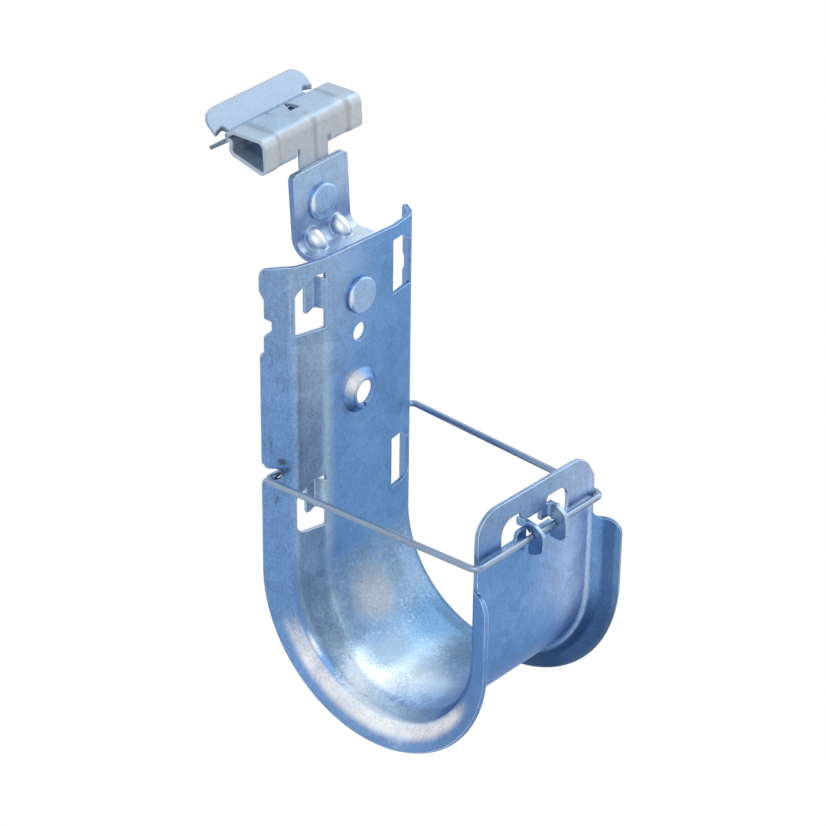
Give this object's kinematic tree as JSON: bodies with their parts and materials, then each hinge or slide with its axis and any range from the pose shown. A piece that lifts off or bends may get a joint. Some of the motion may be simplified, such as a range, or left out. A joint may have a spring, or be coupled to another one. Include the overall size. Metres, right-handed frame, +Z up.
{
  "type": "cable j-hook",
  "caption": "Sheet-metal J-shaped cable support with a wire retainer across its mouth, swivelling on a riveted angle bracket below a spring clip for a beam flange.",
  "frame": {"origin": "mouth of the clip's jaw, where the beam flange enters it, in the middle of the clip's width", "axes": "+Z up with the hook hanging plumb, +Y the way the clip's jaw opens, away from the cable side, +X to the right seen from the cable side; the clip and bracket lean 3.9 degrees about Y, as pictured"},
  "size_m": [0.0524, 0.0905, 0.1416],
  "materials": {
    "hook_sheet": "pre-galvanised sheet, fine spangle, satin",
    "bracket_strip": "galvanised strip, satin",
    "rivet_steel": "zinc plated, satin",
    "clip_spring_steel": "zinc-coated spring steel, matt",
    "retainer_wire": "drawn galvanised wire"
  },
  "bodies": {
    "clip": {"flange_clip": "clip_spring_steel"},
    "bracket": {"angle_bracket": "bracket_strip", "upper_rivet": "rivet_steel", "lower_rivet": "rivet_steel"},
    "hook": {"j_hook": "hook_sheet"},
    "retainer": {"wire_retainer": "retainer_wire"}
  },
  "joints": [
    {"name": "clip_swivel", "type": "hinge", "parent": "clip", "child": "bracket", "pos_m": [0.00125, -0.0125, -0.01836], "axis": [0, 1, 0], "continuous": true},
    {"name": "hook_swivel", "type": "hinge", "parent": "bracket", "child": "hook", "pos_m": [0.00265, -0.023, -0.03881], "axis": [0, 1, 0], "range_deg": [-17, 9.3]},
    {"name": "retainer_swing", "type": "hinge", "parent": "hook", "child": "retainer", "pos_m": [0.00265, -0.0174, -0.07881], "axis": [-1, 0, 0], "range_deg": [0, 85], "deforming": ["wire_retainer"]}
  ]
}
